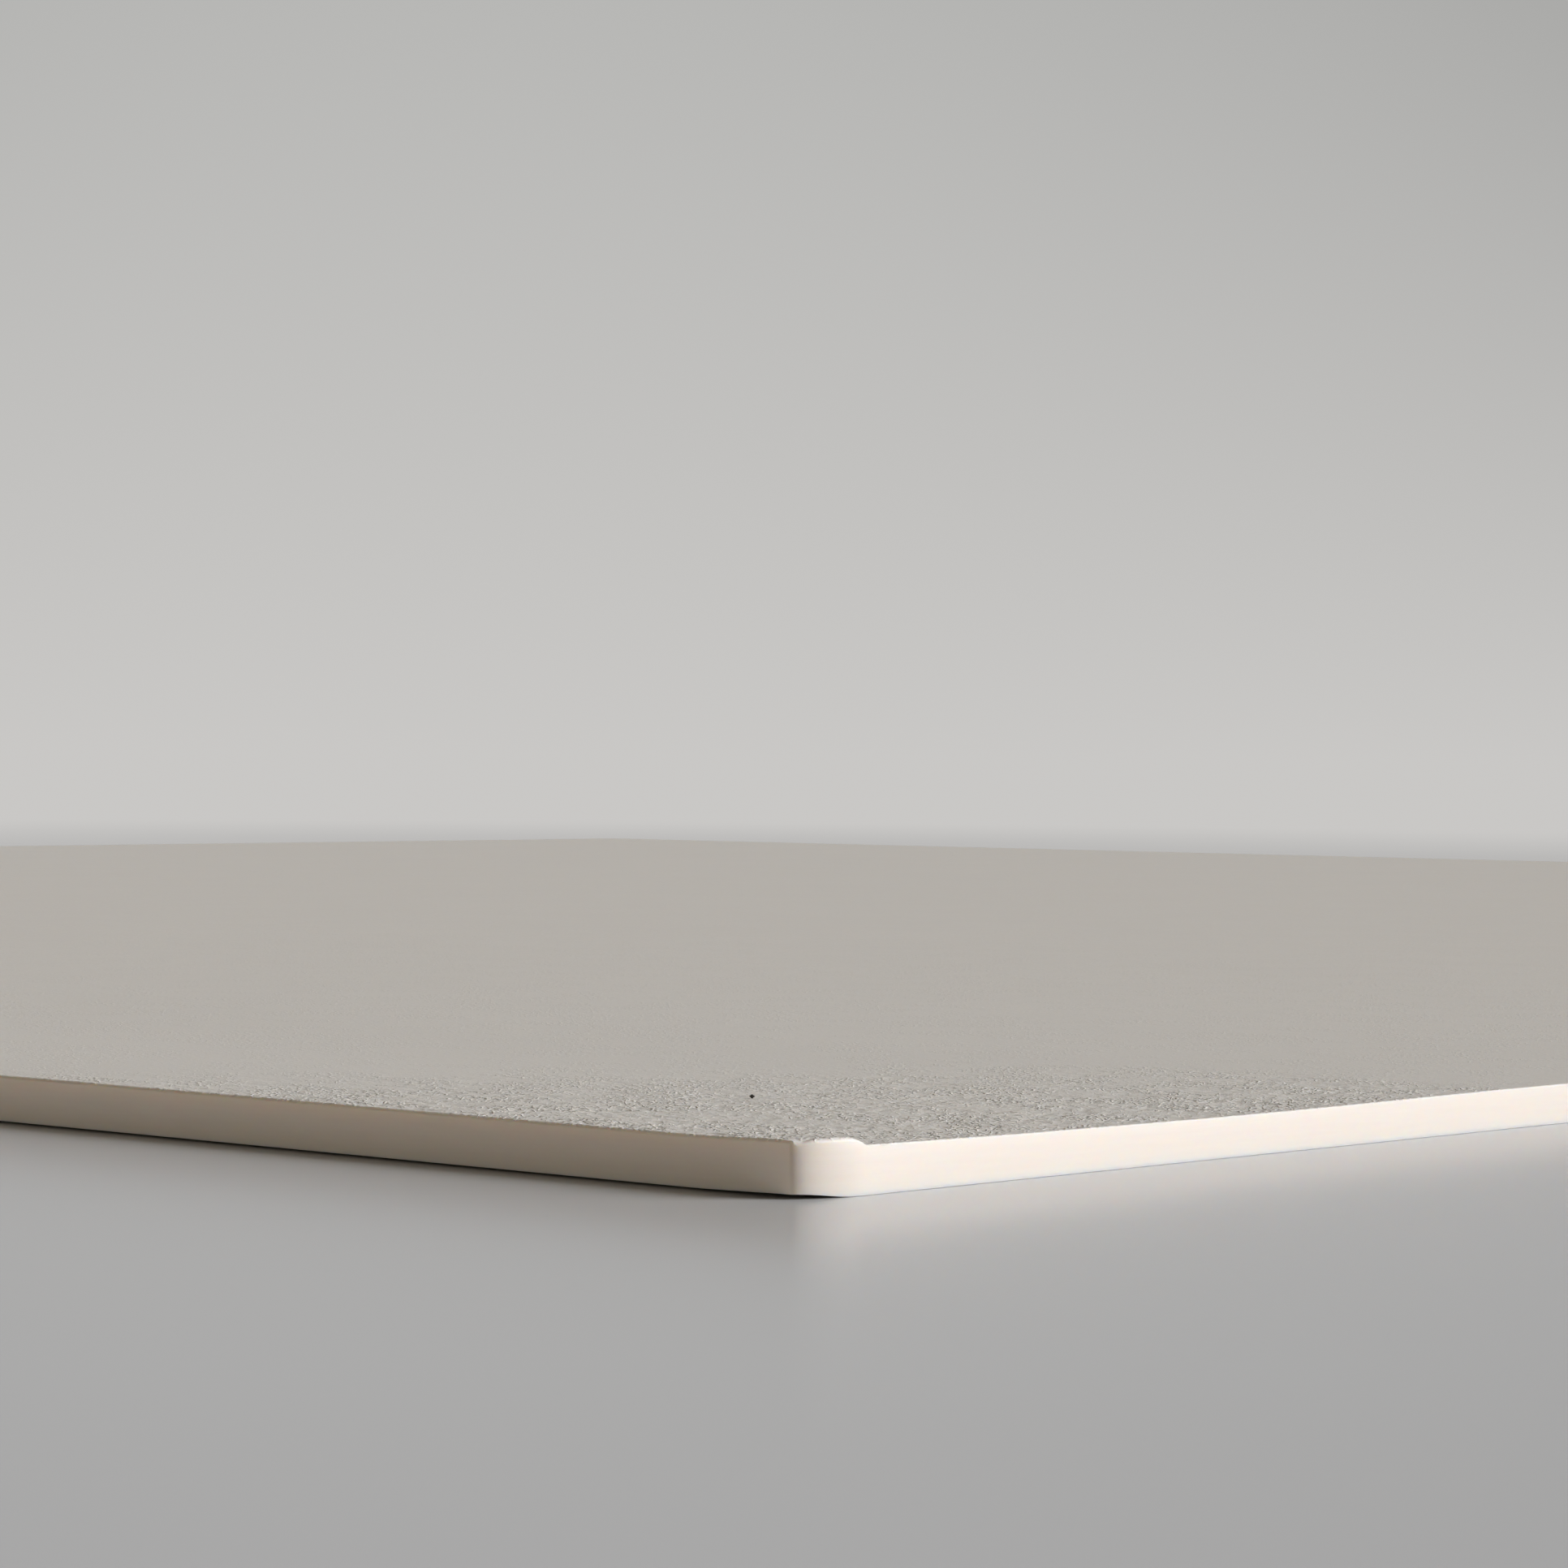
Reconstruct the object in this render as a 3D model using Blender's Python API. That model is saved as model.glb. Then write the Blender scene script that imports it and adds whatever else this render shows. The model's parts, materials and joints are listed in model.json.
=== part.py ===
"""A sheet of rigid foam board, lying flat, modelled as one closed solid.

The sheet is one foamed plastic all through, with no facing and no core. Its front edge is
turned up a little: a band along it stands proud of the top, with a rounded inner side, and its
underside clears the floor. Behind the band the top has a long shallow trough. The right edge
is a plain cut across both, and the corner between the two edges is blunted, curled up and
pressed down at its turn. The other edges and corners are plain.

Units are metres. X is the sheet's length, Y its width, Z is up. The origin is the centre of
the underside. The front edge faces -Y, and the blunted corner lies at +X, -Y.
"""

import math

import bmesh
import bpy
import numpy as np

# The sheet, half of a full sheet of 1220 by 2440 mm
SHEET_LENGTH = 1.220
SHEET_WIDTH = 1.220
SHEET_THICKNESS = 0.005

# Plain cut edges, and the three plain corners in plan
EDGE_ARRIS = 0.0002
CORNER_EASE = 0.0012

# The front edge's band on the top: its height at the edge, how much more it has at the start of
# its rounded inner side, its width with that side, the side's own width, and its top arris
LIP_HEIGHT = 0.00086
LIP_SWELL = 0.00007
LIP_WIDTH = 0.0089
LIP_NOSE = 0.0030
LIP_ARRIS = 0.0005

# The front edge's lift off the floor, and how far in from the edge it reaches
LIFT_HEIGHT = 0.00026
LIFT_WIDTH = 0.0074

# The trough in the top behind the band: its depth, and where it starts and ends
TROUGH_DEPTH = 0.00023
TROUGH_START = 0.022
TROUGH_END = 0.138

# The blunted corner: how far it reaches along the front edge and along the right edge, and the
# power that makes its curve flatter in the middle than a quarter of an ellipse
BLUNT_FRONT = 0.0022
BLUNT_SIDE = 0.009
BLUNT_POWER = 1.5

# The curl at that corner: how much more the top and the underside are raised there, and how far
# it reaches along the front edge and along the right edge
CURL_TOP = 0.00031
CURL_UNDER = 0.00026
CURL_FRONT = 0.018
CURL_SIDE = 0.038

# The dip that is pressed into the top at the corner's turn: its depth, its place before the
# corner, its reach along the outline, and its reach inwards
DIP_DEPTH = 0.00042
DIP_BEFORE = 0.0013
DIP_REACH = 0.00125
DIP_INSET = 0.0022

# The close stations before the blunted corner, and the steps of each curve
CLOSE_ZONE = 0.006
CLOSE_POWER = 1.5
CLOSE_STEPS = 8
BLUNT_STEPS = 36
EASE_STEPS = 6
ARRIS_STEPS = 4
DIP_STEPS = 5
BAND_STEPS = 8
NOSE_STEPS = 8
CURL_STEPS = 7
TROUGH_STEPS = 14
CUT_TOLERANCE = 2e-5

FOAM_COLOUR = (0.84, 0.80, 0.72, 1.0)
FOAM_ROUGHNESS = 0.62


def clear_scene():
    for obj in list(bpy.data.objects):
        bpy.data.objects.remove(obj, do_unlink=True)


def foam_material():
    material = bpy.data.materials.new("foamed_plastic")
    material.use_nodes = True
    shader = material.node_tree.nodes["Principled BSDF"]
    shader.inputs["Base Color"].default_value = FOAM_COLOUR
    shader.inputs["Roughness"].default_value = FOAM_ROUGHNESS
    shader.inputs["Metallic"].default_value = 0.0
    return material


def smooth_step(share):
    """0 below 0 and 1 above 1, with a level start and end between them."""
    share = np.clip(share, 0.0, 1.0)
    return share * share * (3.0 - 2.0 * share)


def top_section(distance):
    """How far the top stands proud at a distance from the front edge.

    The band swells slowly up to its rounded inner side, which falls along a parabola. The
    trough behind it is one cosine wave.
    """
    swell = LIP_SWELL * smooth_step(distance / (LIP_WIDTH - LIP_NOSE))
    nose = np.clip((distance - LIP_WIDTH + LIP_NOSE) / LIP_NOSE, 0.0, 1.0)
    across = np.clip((distance - TROUGH_START) / (TROUGH_END - TROUGH_START), 0.0, 1.0)
    trough = TROUGH_DEPTH * (1.0 - np.cos(2.0 * math.pi * across)) / 2.0
    return (LIP_HEIGHT + swell) * (1.0 - nose**2) - trough


def lift_share(distance):
    """The underside's share of the front edge's lift at a distance from that edge."""
    return 1.0 - smooth_step(distance / LIFT_WIDTH)


def section_lines():
    """The distances from the front edge at which the sheet's section has its points."""
    nose_start = LIP_WIDTH - LIP_NOSE
    band = np.linspace(0.0, nose_start, BAND_STEPS + 1)
    nose = np.linspace(nose_start, LIP_WIDTH, NOSE_STEPS + 1)
    curl = np.linspace(LIP_WIDTH, CURL_SIDE, CURL_STEPS + 1)
    trough = np.linspace(TROUGH_START, TROUGH_END, TROUGH_STEPS + 1)
    lines = np.sort(np.concatenate([band, nose, curl, trough, [LIFT_WIDTH]]))
    apart = np.diff(lines, prepend=-1.0) > CUT_TOLERANCE
    return lines[apart]


def corner_stations(corner, heading, run_in, run_out, steps, power=1.0, before=()):
    """Places along the outline at one corner, walked anticlockwise.

    heading is the direction of the side that comes in. The corner is a quarter of an ellipse
    that starts run_in before it and ends run_out past it, or a flatter curve where power is
    more than 1. A station lies before the curve, by the distance in before, or on it, at the
    angle whose sine and cosine, raised to the power, are kept here.
    """
    before = np.array(before)
    turn = np.linspace(0.0, math.pi / 2.0, steps + 1)
    sine = np.sin(turn) ** power
    cosine = np.maximum(np.cos(turn), 0.0) ** power
    count = len(before) + len(turn)
    return {
        "corner": np.tile(corner, (count, 1)),
        "heading": np.tile(heading, (count, 1)),
        "next_heading": np.tile((-heading[1], heading[0]), (count, 1)),
        "run_in": np.full(count, run_in),
        "run_out": np.full(count, run_out),
        "before": np.concatenate([before, np.zeros(len(turn))]),
        "sine": np.concatenate([np.zeros(len(before)), sine]),
        "cosine": np.concatenate([np.ones(len(before)), cosine]),
    }


def outline_stations():
    """The stations of all four corners, with each one's share of the lip's arris and the dip."""
    half_x = SHEET_LENGTH / 2.0
    half_y = SHEET_WIDTH / 2.0
    ease = CORNER_EASE
    close = CLOSE_ZONE * (np.arange(CLOSE_STEPS, 0, -1) / CLOSE_STEPS) ** CLOSE_POWER
    blunted = corner_stations(
        (half_x, -half_y), (1.0, 0.0), BLUNT_FRONT, BLUNT_SIDE, BLUNT_STEPS, BLUNT_POWER, close
    )
    right_rear = corner_stations((half_x, half_y), (0.0, 1.0), ease, ease, EASE_STEPS)
    left_rear = corner_stations((-half_x, half_y), (-1.0, 0.0), ease, ease, EASE_STEPS)
    left_front = corner_stations((-half_x, -half_y), (0.0, -1.0), ease, ease, EASE_STEPS)

    from_front = BLUNT_SIDE * (1.0 - blunted["cosine"])
    blunted["lip"] = 1.0 - smooth_step((from_front - LIP_WIDTH + LIP_NOSE) / LIP_NOSE)
    past = from_front - BLUNT_FRONT * (1.0 - blunted["sine"]) - blunted["before"]
    blunted["dip"] = np.exp(-(((past + DIP_BEFORE) / DIP_REACH) ** 2))

    for plain in (right_rear, left_rear, left_front):
        plain["lip"] = np.zeros(len(plain["sine"]))
        plain["dip"] = np.zeros(len(plain["sine"]))
    left_front["lip"] = smooth_step(left_front["sine"])

    corners = (blunted, right_rear, left_rear, left_front)
    return {key: np.concatenate([part[key] for part in corners]) for key in blunted}


def outline_ring(stations, inset, height):
    """One closed ring of points: the sheet's outline drawn in by inset, at a height.

    A corner's run shrinks as run * run / (run + inset), so it never comes to nothing, and the
    stations before it are drawn together to make room, so rings never cross.
    """
    inset = np.broadcast_to(inset, stations["sine"].shape)
    height = np.broadcast_to(height, stations["sine"].shape)
    run_in = stations["run_in"] ** 2 / (stations["run_in"] + inset)
    run_out = stations["run_out"] ** 2 / (stations["run_out"] + inset)
    squeeze = 1.0 - (inset + run_in - stations["run_in"]) / CLOSE_ZONE
    along_in = (
        -inset
        - run_in * (1.0 - stations["sine"])
        - stations["before"] * squeeze
    )
    along_out = inset + run_out * (1.0 - stations["cosine"])
    plan = (
        stations["corner"]
        + along_in[:, None] * stations["heading"]
        + along_out[:, None] * stations["next_heading"]
    )
    return np.column_stack([plan, height])


def edge_rings(stations):
    """The edge's section carried round the outline, from the underside to the top.

    Upwards, it is the bottom arris, the upright cut, the top arris, and the dip's inner slope,
    which rises to the top along half a cosine wave. Where there is no dip, the slope is level.
    """
    dip = DIP_DEPTH * stations["dip"]
    top_arris = EDGE_ARRIS + (LIP_ARRIS - EDGE_ARRIS) * stations["lip"]

    rings = []
    for angle in np.linspace(0.0, math.pi / 2.0, ARRIS_STEPS + 1):
        inset = EDGE_ARRIS * (1.0 - math.sin(angle))
        rings.append(outline_ring(stations, inset, EDGE_ARRIS * (1.0 - math.cos(angle))))
    for angle in np.linspace(0.0, math.pi / 2.0, ARRIS_STEPS + 1):
        height = SHEET_THICKNESS - dip - top_arris * (1.0 - math.sin(angle))
        rings.append(outline_ring(stations, top_arris * (1.0 - math.cos(angle)), height))
    for share in np.linspace(0.0, 1.0, DIP_STEPS + 1)[1:]:
        inset = top_arris + (DIP_INSET - top_arris) * share
        height = SHEET_THICKNESS - dip * (1.0 + math.cos(math.pi * share)) / 2.0
        rings.append(outline_ring(stations, inset, height))
    return rings


def flat_slab(mesh):
    """The sheet before its front edge is turned up: rings bridged, and closed by two flat faces."""
    rings = []
    for points in edge_rings(outline_stations()):
        rings.append([mesh.verts.new(point) for point in points])
    for lower, upper in zip(rings, rings[1:]):
        for place in range(len(lower)):
            beyond = (place + 1) % len(lower)
            mesh.faces.new((lower[place], lower[beyond], upper[beyond], upper[place]))
    mesh.faces.new(rings[0][::-1])
    mesh.faces.new(rings[-1])


def cut_across(mesh, faces, point, normal):
    """Cuts faces along a plane through a point, without parting them."""
    edges = {edge for face in faces for edge in face.edges}
    verts = {vert for face in faces for vert in face.verts}
    bmesh.ops.bisect_plane(
        mesh,
        geom=list(verts) + list(edges) + list(faces),
        dist=CUT_TOLERANCE,
        plane_co=point,
        plane_no=normal,
    )


def cut_section_lines(mesh):
    """Cuts the slab along the section's lines, and across them at the curled corner."""
    front = -SHEET_WIDTH / 2.0
    right = SHEET_LENGTH / 2.0
    for line in section_lines()[1:]:
        cut_across(mesh, mesh.faces[:], (0.0, front + line, 0.0), (0.0, 1.0, 0.0))
    behind_curl = front + CURL_SIDE + CUT_TOLERANCE
    for line in np.linspace(CURL_FRONT / CURL_STEPS, CURL_FRONT, CURL_STEPS):
        near = [face for face in mesh.faces if max(v.co.y for v in face.verts) < behind_curl]
        cut_across(mesh, near, (right - line, 0.0, 0.0), (1.0, 0.0, 0.0))


def raise_section(mesh):
    """Raises the slab's two faces to the section, and the corner's curl above that."""
    front = -SHEET_WIDTH / 2.0
    right = SHEET_LENGTH / 2.0
    lines = section_lines()
    top = top_section(lines)
    lift = lift_share(lines)
    side_curl = smooth_step(1.0 - lines / CURL_SIDE)
    for vert in mesh.verts:
        distance = vert.co.y - front
        curl = smooth_step(1.0 - (right - vert.co.x) / CURL_FRONT)
        if vert.co.z > SHEET_THICKNESS / 2.0:
            vert.co.z += np.interp(distance, lines, top)
            vert.co.z += CURL_TOP * curl * np.interp(distance, lines, side_curl)
        else:
            rise = LIFT_HEIGHT + CURL_UNDER * curl
            vert.co.z += rise * np.interp(distance, lines, lift)


def foam_board():
    mesh = bmesh.new()
    flat_slab(mesh)
    cut_section_lines(mesh)
    raise_section(mesh)

    data = bpy.data.meshes.new("foam_board")
    mesh.to_mesh(data)
    mesh.free()
    data.shade_smooth()
    data.set_sharp_from_angle(angle=math.radians(30.0))
    data.materials.append(foam_material())
    board = bpy.data.objects.new("foam_board", data)
    bpy.context.scene.collection.objects.link(board)
    return board


clear_scene()
foam_board()
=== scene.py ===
import json
import math

import bpy
import numpy as np
from mathutils import Matrix, Vector


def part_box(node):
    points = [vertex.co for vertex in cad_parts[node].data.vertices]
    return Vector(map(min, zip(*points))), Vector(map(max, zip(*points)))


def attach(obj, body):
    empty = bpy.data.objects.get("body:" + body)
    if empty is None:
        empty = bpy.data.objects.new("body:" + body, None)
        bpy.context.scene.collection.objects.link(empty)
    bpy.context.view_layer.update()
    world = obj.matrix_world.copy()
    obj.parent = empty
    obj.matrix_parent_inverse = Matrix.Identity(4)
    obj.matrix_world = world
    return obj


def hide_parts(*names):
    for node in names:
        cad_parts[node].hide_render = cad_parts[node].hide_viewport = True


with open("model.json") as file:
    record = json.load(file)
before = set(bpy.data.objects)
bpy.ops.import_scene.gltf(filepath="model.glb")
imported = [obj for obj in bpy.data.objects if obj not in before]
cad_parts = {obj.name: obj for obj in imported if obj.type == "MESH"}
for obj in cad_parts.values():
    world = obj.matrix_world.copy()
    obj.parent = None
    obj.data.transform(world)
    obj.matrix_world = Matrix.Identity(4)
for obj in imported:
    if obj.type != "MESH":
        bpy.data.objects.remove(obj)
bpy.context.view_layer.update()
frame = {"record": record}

# Camera
# It stands low in front of the sheet's blunted corner, with its lens axis 46 mm above the floor, and
# looks along the sheet's diagonal with a slight turn. The sheet's two near edges run away from it.
sheet_low, sheet_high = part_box("foam_board")
blunt_corner = Vector((sheet_high.x, sheet_low.y, 0.0))
HEADING = math.radians(42.17)
LOOKING_DOWN = math.radians(0.355)
ROLL = math.radians(0.408)
CORNER_AHEAD = 0.4581
CORNER_TO_RIGHT = 0.00294
LENS_HEIGHT = 0.04572
LENS = 102.4
SENSOR = 36.0
NEAREST = 0.01
FARTHEST = 200.0

ahead = Vector((-math.sin(HEADING), math.cos(HEADING), 0.0))
to_right = Vector((math.cos(HEADING), math.sin(HEADING), 0.0))
lens_place = blunt_corner - CORNER_AHEAD * ahead - CORNER_TO_RIGHT * to_right
lens_place.z = LENS_HEIGHT

camera_data = bpy.data.cameras.new("camera")
camera_data.lens = LENS
camera_data.sensor_width = SENSOR
camera_data.clip_start = NEAREST
camera_data.clip_end = FARTHEST
camera = bpy.data.objects.new("camera", camera_data)
camera.matrix_world = (
    Matrix.Translation(lens_place)
    @ Matrix.Rotation(HEADING, 4, "Z")
    @ Matrix.Rotation(math.pi / 2.0 - LOOKING_DOWN, 4, "X")
    @ Matrix.Rotation(ROLL, 4, "Z")
)
bpy.context.scene.collection.objects.link(camera)
bpy.context.scene.camera = camera


# The sheet
# One sheet of rigid foamed plastic, with a fine grain that its rollers leave on both faces. Its front
# edge is turned up a little, into a band along the top with a narrow gap below. The other edges are
# plain satin cuts. The corner between front and right is blunted, curled up and dented at its turn.
thickness = next(m["pos_m"][2] for m in frame["record"]["mounts"] if m["name"] == "top_face")
half_x = (sheet_high.x - sheet_low.x) / 2.0
half_y = (sheet_high.y - sheet_low.y) / 2.0

# Roundings along the edges and at the plain corners
EDGE_ARRIS = 0.0002
UNDER_ARRIS = 0.00003
CORNER_EASE = 0.0012

# The turned-up front edge: its band above, its lift below and the trough behind the band
LIP_HEIGHT = 0.00086
LIP_SWELL = 0.00007
LIP_WIDTH = 0.0089
LIP_NOSE = 0.0030
LIP_ARRIS = 0.0005
LIFT_HEIGHT = 0.00026
LIFT_WIDTH = 0.0074
TROUGH_DEPTH = 0.00023
TROUGH_START = 0.022
TROUGH_END = 0.138

# The blunted corner: its curve, its curl and the dip at its turn
BLUNT_FRONT = 0.0029
BLUNT_SIDE = 0.009
BLUNT_POWER = 1.1
CURL_TOP = 0.00031
CURL_UNDER = 0.00026
CURL_FRONT = 0.018
CURL_SIDE = 0.038
DIP_DEPTH = 0.00026
DIP_BEFORE = 0.0013
DIP_REACH = 0.0015
DIP_INSET = 0.0022

# Steps of the mesh, which are finest near the blunted corner
FINE_STEP = 0.00042
FINE_GROWTH = 1.004
FINE_REACH = 0.135
COARSE_GROWTH = 1.12
CORNER_ZONE = 0.010
BLUNT_STEPS = 30
EASE_STEPS = 4
UNDER_STEPS = 3
ARRIS_STEPS = 4
CROWN_STEPS = 5

# The skin's grain in the mesh: its waves, its clusters, and where it fades
GRAIN_DEPTH = 0.00015
GRAIN_WAVES = 72
GRAIN_LENGTH = (0.0013, 0.0032)
GRAIN_SAMPLES = (2.4, 3.4)
GRAIN_SHARPNESS = 1.9
GRAIN_GROUND = 0.40
CLUSTER_WAVES = 14
CLUSTER_LENGTH = (0.007, 0.022)
CLUSTER_SHARE = 0.60
GRAIN_SLANT = (0.86, 0.57)
GRAIN_FADE = (0.060, 0.145)
SQUARE_FADE = (0.126, 0.134)
GRAIN_RIM = 0.5
RANDOM_SEED = 11


def smooth_step(share):
    """0 below 0 and 1 above 1, with a level start and end between them."""
    share = np.clip(share, 0.0, 1.0)
    return share * share * (3.0 - 2.0 * share)


def graded_run(start, end):
    """Distances from start to end: a series of steps that each grow by FINE_GROWTH, up to FINE_REACH,
    where the grain shows, and then one whose steps grow by COARSE_GROWTH and end at the end."""
    growth = FINE_GROWTH - 1.0
    count = math.ceil(math.log1p((FINE_REACH - start) * growth / FINE_STEP) / math.log(FINE_GROWTH))
    fine = start + FINE_STEP * (FINE_GROWTH ** np.arange(count + 1) - 1.0) / growth
    last_step = fine[-1] - fine[-2]
    room = end - fine[-1]
    count = math.ceil(math.log1p(room * (COARSE_GROWTH - 1.0) / last_step) / math.log(COARSE_GROWTH))
    coarse = COARSE_GROWTH ** np.arange(1, count + 1) - 1.0
    return np.concatenate([fine, fine[-1] + room * coarse / coarse[-1]])


def other_share(share, power):
    """The sine that goes with a cosine on a corner's curve, or the other way round. Both are raised to
    the power, so that sine ** (2 / power) and cosine ** (2 / power) add up to 1."""
    return np.maximum(1.0 - share ** (2.0 / power), 0.0) ** (power / 2.0)


def side_stations(first, second, total, distance):
    """Stations of the outline along one side, told by their distance from the first sharp corner. Each
    row holds a corner's place, heading, runs and power, and the distance before its curve, the sine
    and cosine on it and the distance past it. The nearer corner tells a station."""
    near = distance < total / 2.0
    start_run, first_power = first[2][1], first[3][0]
    end_run, second_power = second[2][0], second[3][0]
    near_cosine = 1.0 - np.clip(distance / start_run, 0.0, 1.0)
    far_sine = 1.0 - np.clip((total - distance) / end_run, 0.0, 1.0)
    fixed = np.where(near[:, None], np.hstack(first), np.hstack(second))
    before = np.where(near, 0.0, np.maximum(total - distance - end_run, 0.0))
    sine = np.where(near, other_share(near_cosine, first_power), far_sine)
    cosine = np.where(near, near_cosine, other_share(far_sine, second_power))
    after = np.where(near, np.maximum(distance - start_run, 0.0), 0.0)
    return np.column_stack([fixed, before, sine, cosine, after])


def plan_ring(stations, inset):
    """Plan positions of the stations on the outline drawn in by inset. A corner's run shrinks as
    run * run / (run + inset), and the stations beside its curve make room for it."""
    corner, heading = stations[:, 0:2], stations[:, 2:4]
    next_heading = np.column_stack([-heading[:, 1], heading[:, 0]])
    run_in, run_out, _, before, sine, cosine, after = stations[:, 4:11].T
    ring_in = run_in**2 / (run_in + inset)
    ring_out = run_out**2 / (run_out + inset)
    slide_in = (inset + ring_in - run_in) * np.minimum(before / CORNER_ZONE, 1.0)
    slide_out = (inset + ring_out - run_out) * np.minimum(after / CORNER_ZONE, 1.0)
    along_in = -inset - ring_in * (1.0 - sine) - before + slide_in
    along_out = inset + ring_out * (1.0 - cosine) + after - slide_out
    return corner + along_in[:, None] * heading + along_out[:, None] * next_heading


# Each corner's place, the heading towards it, its runs before and after it, and its curve's power
ease_runs = (CORNER_EASE, CORNER_EASE)
blunt = ((half_x, -half_y), (1.0, 0.0), (BLUNT_FRONT, BLUNT_SIDE), (BLUNT_POWER,))
right_rear = ((half_x, half_y), (0.0, 1.0), ease_runs, (1.0,))
left_rear = ((-half_x, half_y), (-1.0, 0.0), ease_runs, (1.0,))
left_front = ((-half_x, -half_y), (0.0, -1.0), ease_runs, (1.0,))

length = 2.0 * half_x
width = 2.0 * half_y
blunt_turn = np.linspace(0.0, math.pi / 2.0, BLUNT_STEPS + 1)
ease_turn = np.linspace(0.0, math.pi / 2.0, EASE_STEPS + 1)
rows = np.concatenate(
    [
        BLUNT_SIDE * (1.0 - np.maximum(np.cos(blunt_turn), 0.0) ** BLUNT_POWER),
        graded_run(BLUNT_SIDE, width - CORNER_EASE)[1:-1],
        width - CORNER_EASE * (1.0 - np.sin(ease_turn)),
    ]
)
columns = graded_run(BLUNT_FRONT, length - CORNER_EASE)
rear_columns = CORNER_EASE + (columns - columns[0]) * (
    (length - 2.0 * CORNER_EASE) / (columns[-1] - columns[0])
)
right_side = side_stations(blunt, right_rear, width, rows)
rear_side = side_stations(right_rear, left_rear, length, rear_columns)
left_side = side_stations(left_rear, left_front, width, width - rows[::-1])
front_side = side_stations(left_front, blunt, length, length - columns[::-1])
outline = np.concatenate([right_side[:-1], rear_side[:-1], left_side[:-1], front_side[:-1]])


def corner_shares(stations):
    """Each station's share of the band's rounder arris, which runs along the front edge and falls with
    the band's inner side, and of the dip, a bell curve on the outline just before the corner."""
    corner_x, corner_y = stations[:, 0], stations[:, 1]
    run_in, run_out, _, before, sine, cosine, after = stations[:, 4:11].T
    at_blunt = (corner_x > 0.0) & (corner_y < 0.0)
    at_left_front = (corner_x < 0.0) & (corner_y < 0.0)
    from_front = np.where(at_blunt, run_out * (1.0 - cosine) + after, 0.0)
    arris = 1.0 - smooth_step((from_front - LIP_WIDTH + LIP_NOSE) / LIP_NOSE)
    arris = np.where(at_blunt, arris, np.where(at_left_front, smooth_step(sine), 0.0))
    past = from_front - run_in * (1.0 - sine) - before
    dip = np.where(at_blunt, np.exp(-(((past + DIP_BEFORE) / DIP_REACH) ** 2)), 0.0)
    return arris, dip


def top_rise(x, y):
    """How far the top stands above the sheet's thickness. The front band swells slowly up to its
    rounded inner side, which falls along a parabola. The trough behind it is one cosine wave. The
    curl falls along a smooth step each way from the blunted corner."""
    distance = y + half_y
    swell = LIP_SWELL * smooth_step(distance / (LIP_WIDTH - LIP_NOSE))
    nose = np.clip((distance - LIP_WIDTH + LIP_NOSE) / LIP_NOSE, 0.0, 1.0)
    across = np.clip((distance - TROUGH_START) / (TROUGH_END - TROUGH_START), 0.0, 1.0)
    trough = TROUGH_DEPTH * (1.0 - np.cos(2.0 * math.pi * across)) / 2.0
    curl = smooth_step(1.0 - (half_x - x) / CURL_FRONT) * smooth_step(1.0 - distance / CURL_SIDE)
    return (LIP_HEIGHT + swell) * (1.0 - nose**2) - trough + CURL_TOP * curl


def under_rise(x, y):
    """How far the underside clears the floor: a smooth step down from the front edge inwards, more of
    it at the curled corner."""
    curl = smooth_step(1.0 - (half_x - x) / CURL_FRONT)
    return (LIFT_HEIGHT + CURL_UNDER * curl) * (1.0 - smooth_step((y + half_y) / LIFT_WIDTH))


def plane_waves(x, y, count, shortest, longest, kept=None):
    """The sum of plane waves of chance headings, lengths and phases, scaled to spread by about 1. A
    wave counts as much as kept says for its length."""
    heading = rng.uniform(0.0, math.pi, count)
    ripple = rng.uniform(shortest, longest, count)
    phase = rng.uniform(0.0, 2.0 * math.pi, count)
    total = np.zeros_like(x)
    for turn, ripple_length, start in zip(heading, ripple, phase):
        travel = x * math.cos(turn) + y * math.sin(turn)
        wave = np.cos(2.0 * math.pi * travel / ripple_length + start)
        total += wave if kept is None else wave * kept(ripple_length)
    return total / math.sqrt(count / 2.0)


def relief_share(x, y):
    """How much of the grain is in the mesh: all of it near the blunted corner, and none far behind it."""
    behind = (half_x - x) * GRAIN_SLANT[0] + (y + half_y) * GRAIN_SLANT[1]
    reach = np.maximum(half_x - x, y + half_y)
    fade = 1.0 - smooth_step((behind - GRAIN_FADE[0]) / (GRAIN_FADE[1] - GRAIN_FADE[0]))
    return fade * (1.0 - smooth_step((reach - SQUARE_FADE[0]) / (SQUARE_FADE[1] - SQUARE_FADE[0])))


def grain(x, y):
    """The skin's relief: waves in all directions, squashed by tanh, which gives a level ground with
    narrow pits below it, in clusters. A wave is left out where the steps are too long for it."""
    step = FINE_STEP + (FINE_GROWTH - 1.0) * np.maximum(half_x - x, y + half_y)

    def kept(ripple):
        low, high = GRAIN_SAMPLES
        return smooth_step((ripple / step - low) / (high - low))

    relief = plane_waves(x, y, GRAIN_WAVES, *GRAIN_LENGTH, kept)
    relief += GRAIN_GROUND + CLUSTER_SHARE * plane_waves(x, y, CLUSTER_WAVES, *CLUSTER_LENGTH)
    return GRAIN_DEPTH * relief_share(x, y) * (np.tanh(GRAIN_SHARPNESS * relief) - 1.0) / 2.0


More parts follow.
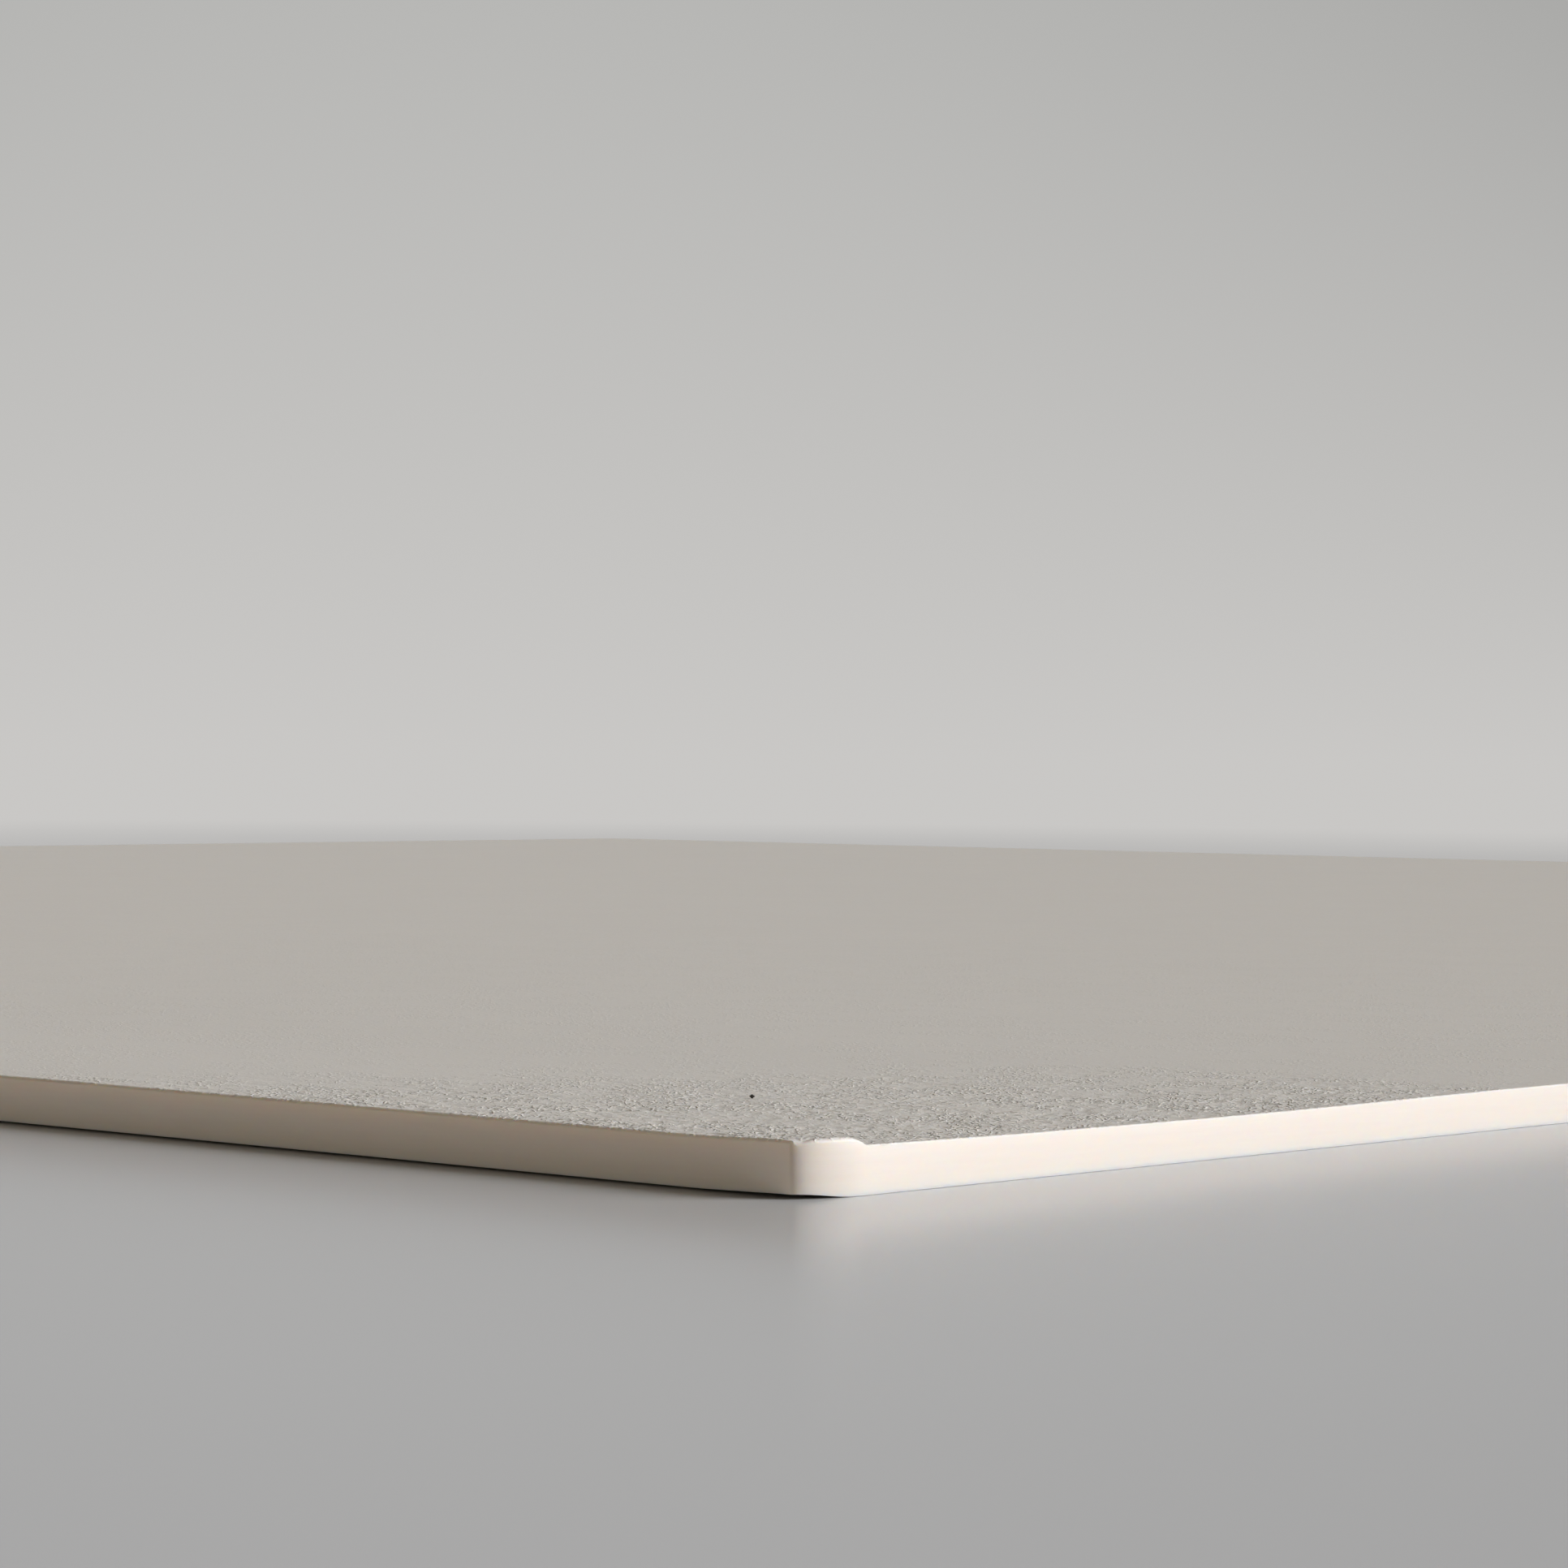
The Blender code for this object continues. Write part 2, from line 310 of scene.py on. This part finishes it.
def plan_grid(inset):
    """Plan positions of a grid of columns and rows that is stretched between the four sides of the
    outline drawn in by inset (a Coons patch). Columns go from right to left, rows from the front."""
    right = plan_ring(right_side, inset)
    left = plan_ring(left_side, inset)[::-1]
    front = plan_ring(front_side, inset)[::-1]
    rear = plan_ring(rear_side, inset)
    across = ((front[:, 0] - front[0, 0]) / (front[-1, 0] - front[0, 0]))[:, None, None]
    along = ((right[:, 1] - right[0, 1]) / (right[-1, 1] - right[0, 1]))[None, :, None]
    return (
        (1.0 - along) * front[:, None]
        + along * rear[:, None]
        + (1.0 - across) * right[None, :]
        + across * left[None, :]
        - (1.0 - across) * (1.0 - along) * front[0]
        - across * (1.0 - along) * front[-1]
        - (1.0 - across) * along * rear[0]
        - across * along * rear[-1]
    )


def edge_rings():
    """Rings of the edge's section, carried round the outline from the underside to the top: the bottom
    arris, the upright cut, the top arris and the dip's inner slope, half a cosine wave. Beside each
    ring's points stands how far they count as a cut."""
    arris_share, dip_share = corner_shares(outline)
    top_arris = EDGE_ARRIS + (LIP_ARRIS - EDGE_ARRIS) * arris_share
    dip = DIP_DEPTH * dip_share
    rings = []
    for angle in np.linspace(0.0, math.pi / 2.0, UNDER_STEPS + 1):
        plan = plan_ring(outline, UNDER_ARRIS * (1.0 - math.sin(angle)))
        height = UNDER_ARRIS * (1.0 - math.cos(angle)) + under_rise(*plan.T)
        rings.append((plan, height, np.full(len(outline), math.sin(angle))))
    for angle in np.linspace(0.0, math.pi / 2.0, ARRIS_STEPS + 1):
        plan = plan_ring(outline, top_arris * (1.0 - math.cos(angle)))
        height = thickness - dip - top_arris * (1.0 - math.sin(angle)) + top_rise(*plan.T)
        rings.append((plan, height, np.maximum(math.cos(angle), dip_share)))
    for share in np.linspace(0.0, 1.0, CROWN_STEPS + 1)[1:]:
        plan = plan_ring(outline, top_arris + (DIP_INSET - top_arris) * share)
        height = thickness - dip * (1.0 + math.cos(math.pi * share)) / 2.0 + top_rise(*plan.T)
        rings.append((plan, height, dip_share * (1.0 - share)))
    return [np.column_stack(ring) for ring in rings]


def quads(first, second, third, fourth):
    """Faces of four corners, from four arrays of the corners' numbers."""
    return np.stack([first, second, third, fourth], axis=-1).reshape(-1, 4).tolist()


def sheet_mesh():
    """The closed sheet: the edge's rings, a grid on the top inside the last ring, a grid on the
    underside inside the first ring as far as the front edge's lift, and one flat face behind it. The
    grain is added to the top, less and less towards its rim and in the dip."""
    rings = edge_rings()
    count = len(outline)
    walls = np.concatenate(rings)
    start = count * np.arange(len(rings) - 1)[:, None]
    here = np.arange(count)[None, :]
    beyond = (here + 1) % count
    faces = quads(start + here, start + beyond, start + count + beyond, start + count + here)

    # The top's grid, whose rim is the last ring
    plan = plan_grid(DIP_INSET)
    top = np.dstack([plan, thickness + top_rise(*plan.transpose(2, 0, 1)), np.zeros(plan.shape[:2])])
    wide, deep = top.shape[:2]
    last_ring = count * (len(rings) - 1)
    number = np.full((wide, deep), -1)
    number[0, :-1] = last_ring + np.arange(deep - 1)
    number[:-1, -1] = last_ring + deep - 1 + np.arange(wide - 1)
    number[-1, :0:-1] = last_ring + deep + wide - 2 + np.arange(deep - 1)
    number[:0:-1, 0] = last_ring + 2 * deep + wide - 3 + np.arange(wide - 1)
    inner = number < 0
    number[inner] = len(walls) + np.arange(inner.sum())
    faces += quads(number[:-1, :-1], number[:-1, 1:], number[1:, 1:], number[1:, :-1])

    # The underside's grid, whose rim is the first ring on three sides, and the flat face behind it
    strips = int(np.searchsorted(rows, LIFT_WIDTH)) + 1
    plan = plan_grid(UNDER_ARRIS)[1:-1, 1 : strips + 1]
    under = np.dstack([plan, under_rise(*plan.transpose(2, 0, 1)), np.zeros(plan.shape[:2])])
    left_row = deep + wide - 2 + np.arange(deep - 1, -1, -1)
    below = np.empty((wide, strips + 1), dtype=int)
    below[:, 0] = (count - np.arange(wide)) % count
    below[0] = np.arange(strips + 1)
    below[-1] = left_row[: strips + 1]
    below[1:-1, 1:] = len(walls) + inner.sum() + np.arange((wide - 2) * strips).reshape(wide - 2, strips)
    faces += quads(below[:-1, :-1], below[1:, :-1], below[1:, 1:], below[:-1, 1:])
    faces.append(list(range(left_row[strips], strips - 1, -1)) + below[1:-1, -1].tolist())

    # How much of the grain each point takes: all inside the top's rim, and less on the rings outwards
    points = np.concatenate([walls, top[inner], under.reshape(-1, 4)])
    skin = np.zeros(len(points))
    skin[len(walls) : len(walls) + inner.sum()] = 1.0
    _, dip_share = corner_shares(outline)
    for place in range(CROWN_STEPS):
        ring_start = last_ring - place * count
        rim = smooth_step((CROWN_STEPS - place) / (CROWN_STEPS * GRAIN_RIM))
        skin[ring_start : ring_start + count] = rim * (1.0 - dip_share)
    points[:, 2] += skin * grain(points[:, 0], points[:, 1])
    return points[:, :3], faces, points[:, 3]


rng = np.random.default_rng(RANDOM_SEED)
points, faces, cut_share = sheet_mesh()
sheet_data = bpy.data.meshes.new("foam_sheet")
sheet_data.from_pydata(points, [], faces)
sheet_data.update()
smooth = np.ones(len(faces), dtype=bool)
smooth[-1] = False
sheet_data.polygons.foreach_set("use_smooth", smooth)
sheet_data.attributes.new("cut", "FLOAT", "POINT").data.foreach_set("value", cut_share)
in_mesh = relief_share(points[:, 0], points[:, 1])
sheet_data.attributes.new("relief", "FLOAT", "POINT").data.foreach_set("value", in_mesh)
sheet = bpy.data.objects.new("foam_sheet", sheet_data)
bpy.context.scene.collection.objects.link(sheet)


def add_node(tree, kind, inputs=(), **settings):
    """A node with its settings. Each input is a socket's name or number, and the value that it takes
    or the output that is linked to it."""
    node = tree.nodes.new(kind)
    for name, value in settings.items():
        setattr(node, name, value)
    for socket, value in inputs:
        if isinstance(value, bpy.types.NodeSocket):
            tree.links.new(value, node.inputs[socket])
        else:
            node.inputs[socket].default_value = value
    return node


def blend(tree, share, first, second):
    """A colour or number between two others, by a share from 0 to 1."""
    node = add_node(tree, "ShaderNodeMix", data_type="RGBA", inputs=[(0, share), (6, first), (7, second)])
    return node.outputs[2]


def between(tree, share, first, second):
    """A number between two others, by a share from 0 to 1."""
    return add_node(tree, "ShaderNodeMix", inputs=[(0, share), (2, first), (3, second)]).outputs[0]


def noise(tree, vector, scale, detail, output=0):
    """A noise with scale waves to the metre, as a number or, by the output Color, as a vector."""
    inputs = [("Vector", vector), ("Scale", scale), ("Detail", detail)]
    return add_node(tree, "ShaderNodeTexNoise", inputs=inputs).outputs[output]


def maths(tree, operation, *values):
    """The result of an operation on numbers."""
    return add_node(tree, "ShaderNodeMath", operation=operation, inputs=enumerate(values)).outputs[0]


def vector_maths(tree, operation, *values, output=0):
    """The result of an operation on vectors, which is a number by the output Value."""
    node = add_node(tree, "ShaderNodeVectorMath", operation=operation, inputs=enumerate(values))
    return node.outputs[output]


def smooth_range(tree, value, start, end, lowest=0.0):
    """The lowest value as far as start and 1 from end on, with a smooth step between them."""
    inputs = [("Value", value), ("From Min", start), ("From Max", end), ("To Min", lowest)]
    return add_node(tree, "ShaderNodeMapRange", interpolation_type="SMOOTHSTEP", inputs=inputs).outputs[0]


# The skin, and the cuts on the edges
SKIN_COLOUR = (0.80, 0.755, 0.67, 1.0)
# The skin's darker colour is painted shade between the grain's raised ticks, and random mottling by the
# cloudy noise
SKIN_PAINTED_SHADE_AND_MOTTLE = (0.76, 0.715, 0.635, 1.0)
SKIN_ROUGHNESS = 0.46
SKIN_ROUGHNESS_SPREAD = 0.20
SKIN_SUBSURFACE = 0.15
CUT_COLOUR = (0.845, 0.77, 0.685, 1.0)
CUT_SHADE = (0.81, 0.735, 0.645, 1.0)
CUT_ROUGHNESS = 0.40
CUT_ROUGHNESS_SPREAD = 0.10
CUT_SUBSURFACE = 0.85
SUBSURFACE_DEPTH = 0.0016
SUBSURFACE_TINT = (1.0, 0.70, 0.42)

# Patterns, each noise with its scale and detail, and each range with its start and end
TICK_NOISE = (1250.0, 1.0)
TICK_RANGE = (0.42, 0.56)
WOBBLE_NOISE = (600.0, 2.0)
WOBBLE_REACH = (0.0016, 0.0016, 0.0016)
CELLS_PER_METRE = 620.0
RIDGE_RANGE = (0.13, 0.0)
CLUSTER_NOISE = (110.0, 2.0)
CLUSTER_RANGE = (0.42, 0.60)
CLUSTER_GROUND = 0.25
FINE_NOISE = (2600.0, 2.0)
CLOUD_NOISE = (22.0, 3.0)
STREAK_NOISE = (1500.0, 3.0)
STREAK_SCALE = (0.06, 0.06, 1.0)

# The bump's full depth, each pattern's share of it, and the share of the grain that is left far back
BUMP_DEPTH = 0.00020
TICK_HEIGHT = 0.40
RIDGE_HEIGHT = 0.70
FINE_HEIGHT = 0.15
STREAK_HEIGHT = 0.10
FAR_GRAIN = 0.16

foam = bpy.data.materials.new("foamed_plastic")
foam.use_nodes = True
tree = foam.node_tree
shader = tree.nodes["Principled BSDF"]
shader.inputs["Subsurface Radius"].default_value = SUBSURFACE_TINT
shader.inputs["Subsurface Scale"].default_value = SUBSURFACE_DEPTH

place = add_node(tree, "ShaderNodeTexCoord").outputs["Object"]
is_cut = add_node(tree, "ShaderNodeAttribute", attribute_name="cut").outputs["Fac"]
in_relief = add_node(tree, "ShaderNodeAttribute", attribute_name="relief").outputs["Fac"]

ticks = smooth_range(tree, noise(tree, place, *TICK_NOISE), *TICK_RANGE)
wobble = noise(tree, place, *WOBBLE_NOISE, output="Color")
warped = vector_maths(tree, "MULTIPLY_ADD", wobble, WOBBLE_REACH, place)
cells = add_node(
    tree,
    "ShaderNodeTexVoronoi",
    feature="DISTANCE_TO_EDGE",
    inputs=[("Vector", warped), ("Scale", CELLS_PER_METRE)],
)
ridges = smooth_range(tree, cells.outputs["Distance"], *RIDGE_RANGE)
clusters = smooth_range(tree, noise(tree, place, *CLUSTER_NOISE), *CLUSTER_RANGE, CLUSTER_GROUND)
fine = noise(tree, place, *FINE_NOISE)
cloudy = noise(tree, place, *CLOUD_NOISE)
along_cut = add_node(
    tree, "ShaderNodeMapping", vector_type="POINT", inputs=[("Vector", place), ("Scale", STREAK_SCALE)]
).outputs[0]
streaks = noise(tree, along_cut, *STREAK_NOISE)

cut_colour = blend(tree, streaks, CUT_COLOUR, CUT_SHADE)
# The skin is lighter on the grain's raised ticks and darker between them, which is painted shade in the
# grain's hollows; the cloudy noise adds random mottling
skin_colour_and_painted_shade = blend(tree, maths(tree, "MULTIPLY", ticks, cloudy), SKIN_PAINTED_SHADE_AND_MOTTLE, SKIN_COLOUR)
tree.links.new(blend(tree, is_cut, skin_colour_and_painted_shade, cut_colour), shader.inputs["Base Color"])

subsurface = between(tree, is_cut, SKIN_SUBSURFACE, CUT_SUBSURFACE)
tree.links.new(subsurface, shader.inputs["Subsurface Weight"])
skin_roughness = maths(tree, "MULTIPLY_ADD", fine, SKIN_ROUGHNESS_SPREAD, SKIN_ROUGHNESS)
cut_roughness = maths(tree, "MULTIPLY_ADD", streaks, CUT_ROUGHNESS_SPREAD, CUT_ROUGHNESS)
tree.links.new(between(tree, is_cut, skin_roughness, cut_roughness), shader.inputs["Roughness"])

grain_share = maths(tree, "MULTIPLY", clusters, between(tree, in_relief, FAR_GRAIN, 1.0))
grain_height = maths(tree, "MULTIPLY", ridges, RIDGE_HEIGHT)
grain_height = maths(tree, "MULTIPLY_ADD", ticks, TICK_HEIGHT, grain_height)
grain_height = maths(tree, "MULTIPLY_ADD", fine, FINE_HEIGHT, grain_height)
skin_height = maths(tree, "MULTIPLY", grain_height, grain_share)
cut_height = maths(tree, "MULTIPLY", streaks, STREAK_HEIGHT)
height = between(tree, is_cut, skin_height, cut_height)
bump = add_node(tree, "ShaderNodeBump", inputs=[("Distance", BUMP_DEPTH), ("Height", height)])
tree.links.new(bump.outputs[0], shader.inputs["Normal"])
sheet_data.materials.append(foam)

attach(sheet, "root")
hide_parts("foam_board")


# The crumb
# A crumb of dark dirt, 0.7 mm across, that lies on the sheet's top behind its blunted corner. It is a
# lumpy ball, a little flattened, that has settled into the grain.
CRUMB_PLACE = (0.5555, -0.5595)
CRUMB_RADII = (0.00029, 0.00027, 0.00021)
CRUMB_SUNK = 0.00006
CRUMB_LUMPS = 0.16
LUMP_TURNS = (4.1, 5.3, 4.7)
LUMP_STARTS = (0.6, 2.2, 1.1)
CRUMB_RINGS = 14
CRUMB_SIDES = 22


def crumb_mesh():
    """A ball of rings and sides between two poles. Its radius swells and shrinks with three waves of
    the direction, one for each axis."""
    down = np.linspace(0.0, math.pi, CRUMB_RINGS + 1)[1:-1, None]
    round_it = 2.0 * math.pi * np.arange(CRUMB_SIDES)[None, :] / CRUMB_SIDES
    flat = np.ones_like(round_it)
    ball = np.stack(
        [np.sin(down) * np.cos(round_it), np.sin(down) * np.sin(round_it), np.cos(down) * flat], axis=-1
    )
    ball = np.concatenate([[[0.0, 0.0, 1.0]], ball.reshape(-1, 3), [[0.0, 0.0, -1.0]]])
    lumps = np.sin(ball * LUMP_TURNS + LUMP_STARTS).sum(axis=1, keepdims=True)
    ball *= np.array(CRUMB_RADII) * (1.0 + CRUMB_LUMPS * lumps)
    lowest = thickness + top_rise(*CRUMB_PLACE) - CRUMB_SUNK
    ball += (*CRUMB_PLACE, lowest - ball[:, 2].min())

    last = len(ball) - 1
    number = 1 + np.arange(last - 1).reshape(CRUMB_RINGS - 1, CRUMB_SIDES)
    beyond = np.roll(number, -1, axis=1)
    faces = quads(number[:-1], number[1:], beyond[1:], beyond[:-1])
    faces += [[0, here, after] for here, after in zip(number[0].tolist(), beyond[0].tolist())]
    faces += [[last, after, here] for here, after in zip(number[-1].tolist(), beyond[-1].tolist())]
    return ball, faces


crumb_points, crumb_faces = crumb_mesh()
crumb_data = bpy.data.meshes.new("dirt_crumb")
crumb_data.from_pydata(crumb_points, [], crumb_faces)
crumb_data.update()
crumb_data.shade_smooth()
crumb = bpy.data.objects.new("dirt_crumb", crumb_data)
bpy.context.scene.collection.objects.link(crumb)

DIRT_DARK = (0.012, 0.010, 0.008, 1.0)
DIRT_BROWN = (0.050, 0.038, 0.026, 1.0)
DIRT_ROUGHNESS = 0.85
GRIT_NOISE = (9000.0, 3.0)
GRIT_DEPTH = 0.00003
dirt = bpy.data.materials.new("dirt")
dirt.use_nodes = True
tree = dirt.node_tree
shader = tree.nodes["Principled BSDF"]
shader.inputs["Roughness"].default_value = DIRT_ROUGHNESS
place = add_node(tree, "ShaderNodeTexCoord").outputs["Object"]
grit = noise(tree, place, *GRIT_NOISE)
tree.links.new(blend(tree, grit, DIRT_DARK, DIRT_BROWN), shader.inputs["Base Color"])
bump = add_node(tree, "ShaderNodeBump", inputs=[("Distance", GRIT_DEPTH), ("Height", grit)])
tree.links.new(bump.outputs[0], shader.inputs["Normal"])
crumb_data.materials.append(dirt)

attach(crumb, "root")


# The floor
# A plain pale satin floor. It keeps the shadow and the faint reflection of the sheet, and behind the
# sheet it fades into the background for the camera, so that no line shows there.
FLOOR_HALF = 60.0
FLOOR_DROP = 0.00002
FLOOR_COLOUR = (0.62, 0.62, 0.61, 1.0)
FLOOR_ROUGHNESS = 0.20
FLOOR_IOR = 1.25
HORIZON = (0.585, 0.575, 0.562, 1.0)
BESIDE_FADE = (-0.30, 1.00)
BEHIND_FADE = (0.50, 1.90)
corner_signs = ((-1, -1), (1, -1), (1, 1), (-1, 1))
floor_points = [(x * FLOOR_HALF, y * FLOOR_HALF, -FLOOR_DROP) for x, y in corner_signs]
floor_data = bpy.data.meshes.new("floor")
floor_data.from_pydata(floor_points, [], [(0, 1, 2, 3)])
floor = bpy.data.objects.new("floor", floor_data)
bpy.context.scene.collection.objects.link(floor)

floor_material = bpy.data.materials.new("floor")
floor_material.use_nodes = True
tree = floor_material.node_tree
shader = tree.nodes["Principled BSDF"]
shader.inputs["Base Color"].default_value = FLOOR_COLOUR
shader.inputs["Roughness"].default_value = FLOOR_ROUGHNESS
shader.inputs["IOR"].default_value = FLOOR_IOR
place = add_node(tree, "ShaderNodeTexCoord").outputs["Object"]
outside = vector_maths(tree, "SUBTRACT", vector_maths(tree, "ABSOLUTE", place), (half_x, half_y, 0.0))
outside = vector_maths(tree, "MAXIMUM", outside, (0.0, 0.0, 0.0))
beside = vector_maths(tree, "LENGTH", outside, output="Value")
from_corner = vector_maths(tree, "DISTANCE", place, blunt_corner, output="Value")
beside_fade = smooth_range(tree, beside, *BESIDE_FADE)
behind_fade = smooth_range(tree, from_corner, *BEHIND_FADE)
fade = maths(tree, "MULTIPLY", beside_fade, behind_fade)
fade = maths(tree, "MULTIPLY", fade, add_node(tree, "ShaderNodeLightPath").outputs["Is Camera Ray"])
glow = add_node(tree, "ShaderNodeEmission", inputs=[("Color", HORIZON)]).outputs[0]
faded = add_node(tree, "ShaderNodeMixShader", inputs=[(0, fade), (1, shader.outputs[0]), (2, glow)])
tree.links.new(faded.outputs[0], tree.nodes["Material Output"].inputs["Surface"])
floor_data.materials.append(floor_material)


# The background and the light
# A plain grey-white background, a little darker higher up and to the sides, which gloss shows too. A
# wide soft light from the right falls on the sheet's right edge and skims its top. A weak warm one
# from low on the left falls on the front edge, and a faint warm one comes from all round.
LIGHT_SPREAD = math.radians(36.0)
KEY_ELEVATION = math.radians(24.3)
KEY_FORWARD = math.radians(5.0)
KEY_STRENGTH = 4.05
KEY_COLOUR = (0.97, 0.975, 1.02)
FILL_ELEVATION = math.radians(9.0)
FILL_STRENGTH = 0.72
FILL_COLOUR = (1.0, 0.90, 0.76)


def add_sun(name, level, elevation, strength, colour):
    """A sun whose light comes from the level direction, raised by the elevation, and which spreads
    over LIGHT_SPREAD."""
    data = bpy.data.lights.new(name, "SUN")
    data.energy = strength
    data.angle = LIGHT_SPREAD
    data.color = colour
    sun = bpy.data.objects.new(name, data)
    comes_from = level * math.cos(elevation) + Vector((0.0, 0.0, math.sin(elevation)))
    sun.rotation_mode = "QUATERNION"
    sun.rotation_quaternion = comes_from.to_track_quat("Z", "Y")
    bpy.context.scene.collection.objects.link(sun)


key_level = to_right * math.cos(KEY_FORWARD) - ahead * math.sin(KEY_FORWARD)
add_sun("key", key_level, KEY_ELEVATION, KEY_STRENGTH, KEY_COLOUR)
add_sun("fill", -to_right, FILL_ELEVATION, FILL_STRENGTH, FILL_COLOUR)

HIGH_UP = 0.17
OVERHEAD = (0.468, 0.467, 0.456, 1.0)
AMBIENT = (1.0, 0.85, 0.70, 1.0)
AMBIENT_STRENGTH = 0.02
DARKER_RIGHT = 0.39
DARKER_SIDES = 2.7
world = bpy.data.worlds.new("studio")
bpy.context.scene.world = world
world.use_nodes = True
tree = world.node_tree
ambient = tree.nodes["Background"]
ambient.inputs["Color"].default_value = AMBIENT
ambient.inputs["Strength"].default_value = AMBIENT_STRENGTH
direction = add_node(tree, "ShaderNodeTexCoord").outputs["Generated"]
height = add_node(tree, "ShaderNodeSeparateXYZ", inputs=[(0, direction)]).outputs["Z"]
climb = add_node(tree, "ShaderNodeMapRange", inputs=[("Value", height), ("From Max", HIGH_UP)]).outputs[0]
rightward = vector_maths(tree, "DOT_PRODUCT", direction, to_right, output="Value")
sideways = maths(tree, "MULTIPLY_ADD", rightward, DARKER_SIDES, DARKER_RIGHT)
darker = maths(tree, "MULTIPLY", rightward, sideways)
strength = maths(tree, "SUBTRACT", 1.0, maths(tree, "MULTIPLY", darker, climb))
sky = blend(tree, climb, HORIZON, OVERHEAD)
seen = add_node(tree, "ShaderNodeBackground", inputs=[("Color", sky), ("Strength", strength)])
path = add_node(tree, "ShaderNodeLightPath")
sees = path.outputs["Is Camera Ray"]
for ray in ("Is Glossy Ray", "Is Transmission Ray"):
    sees = maths(tree, "MAXIMUM", sees, path.outputs[ray])
mixed = add_node(
    tree, "ShaderNodeMixShader", inputs=[(0, sees), (1, ambient.outputs[0]), (2, seen.outputs[0])]
)
tree.links.new(mixed.outputs[0], tree.nodes["World Output"].inputs["Surface"])

bpy.context.scene.view_settings.view_transform = "Standard"
